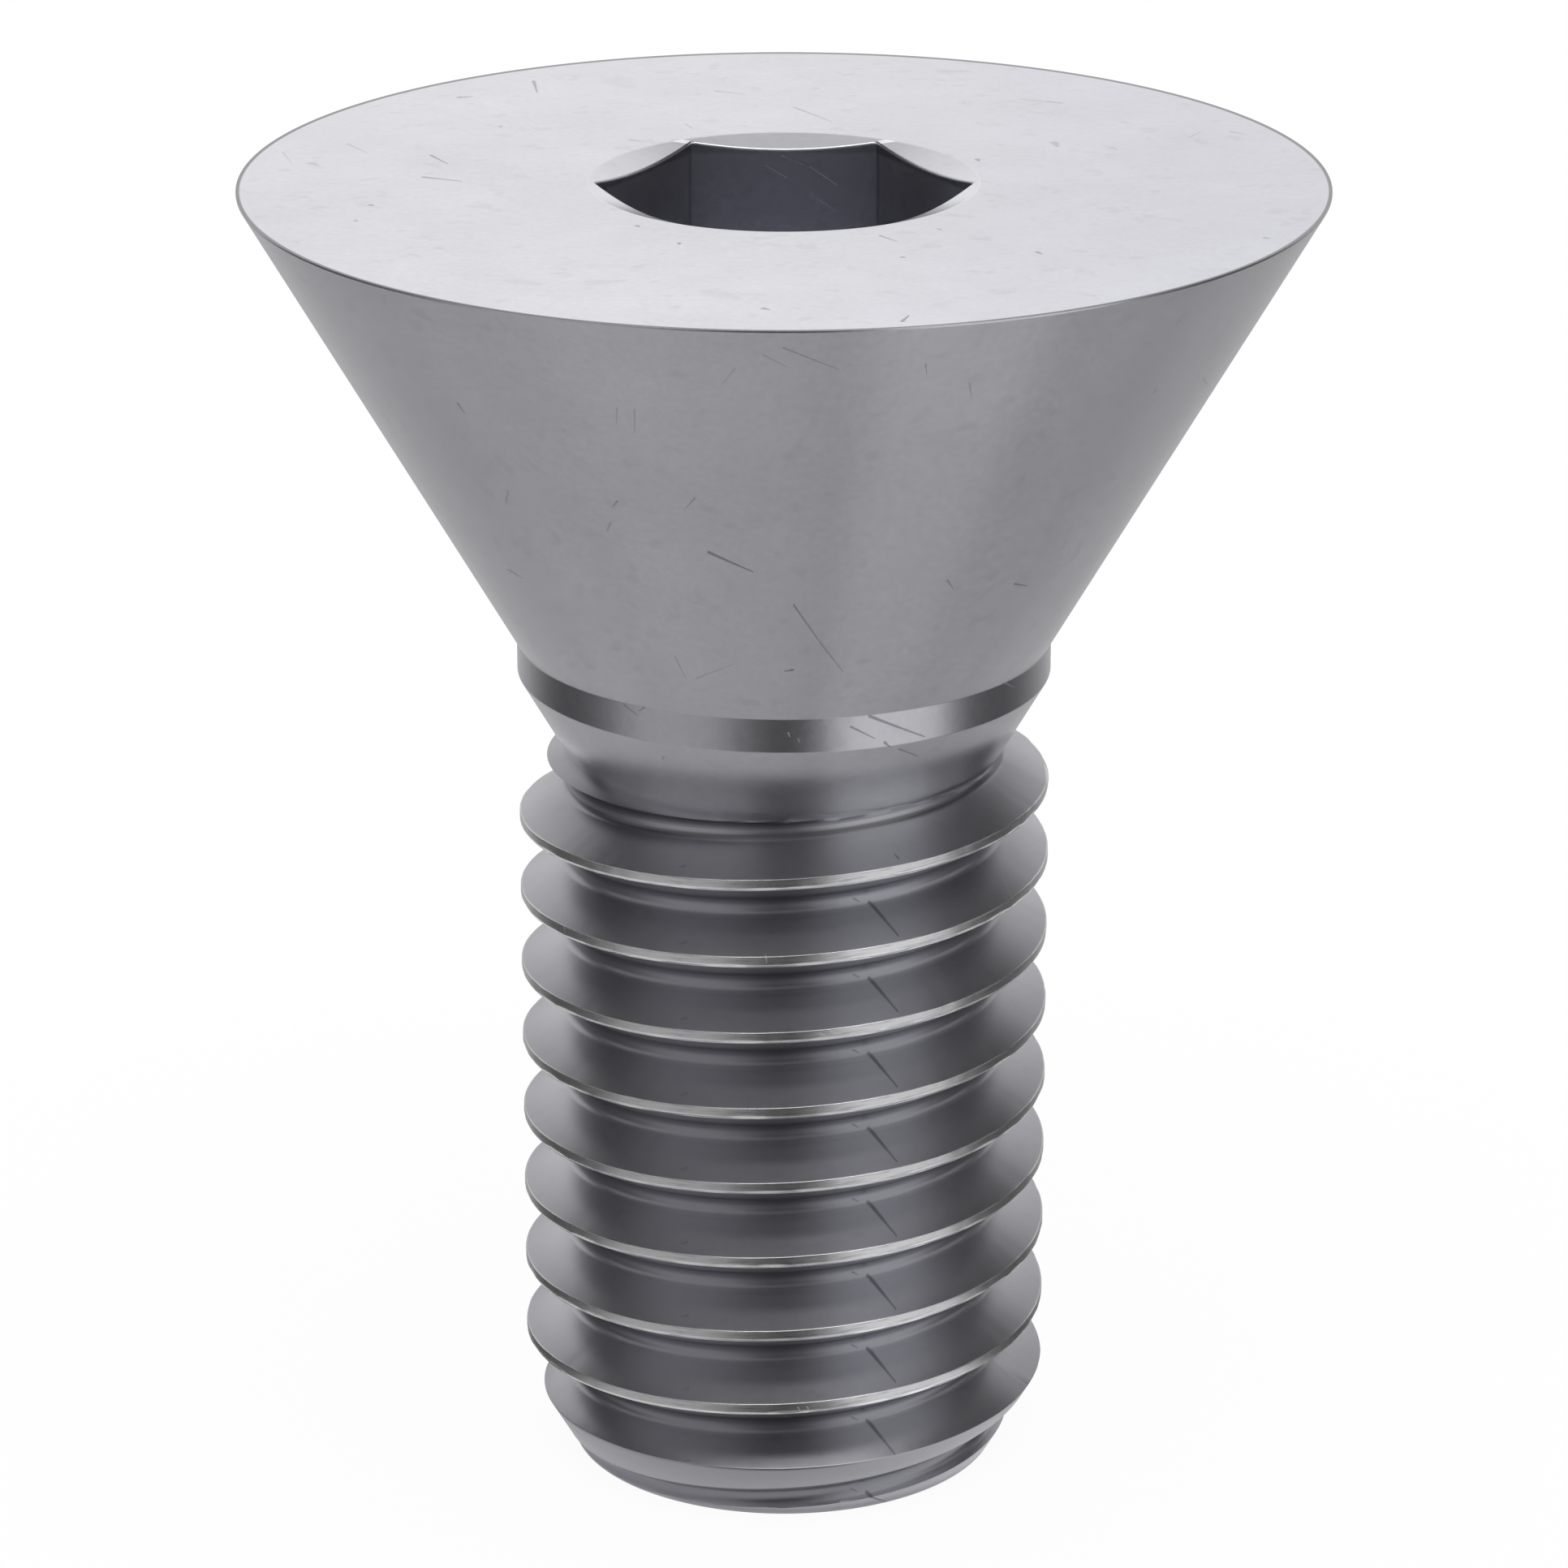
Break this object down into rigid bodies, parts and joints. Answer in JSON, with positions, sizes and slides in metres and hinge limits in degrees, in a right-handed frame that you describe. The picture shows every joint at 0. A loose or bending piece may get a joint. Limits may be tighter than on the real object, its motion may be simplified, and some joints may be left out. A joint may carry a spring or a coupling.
{
  "type": "countersunk socket screw",
  "caption": "Countersunk-head screw with a hexagon socket, a short plain collar and neck, and a right-hand metric thread down to a chamfered end.",
  "frame": {"origin": "centre of the flat end face, on the screw's axis", "axes": "+Z along the axis from the end to the head, +X towards a corner of the hexagon socket"},
  "size_m": [0.02, 0.02, 0.025],
  "materials": {
    "bare_steel": "bare satin steel, lightly scratched"
  },
  "bodies": {
    "root": {"countersunk_screw": "bare_steel"}
  },
  "joints": []
}
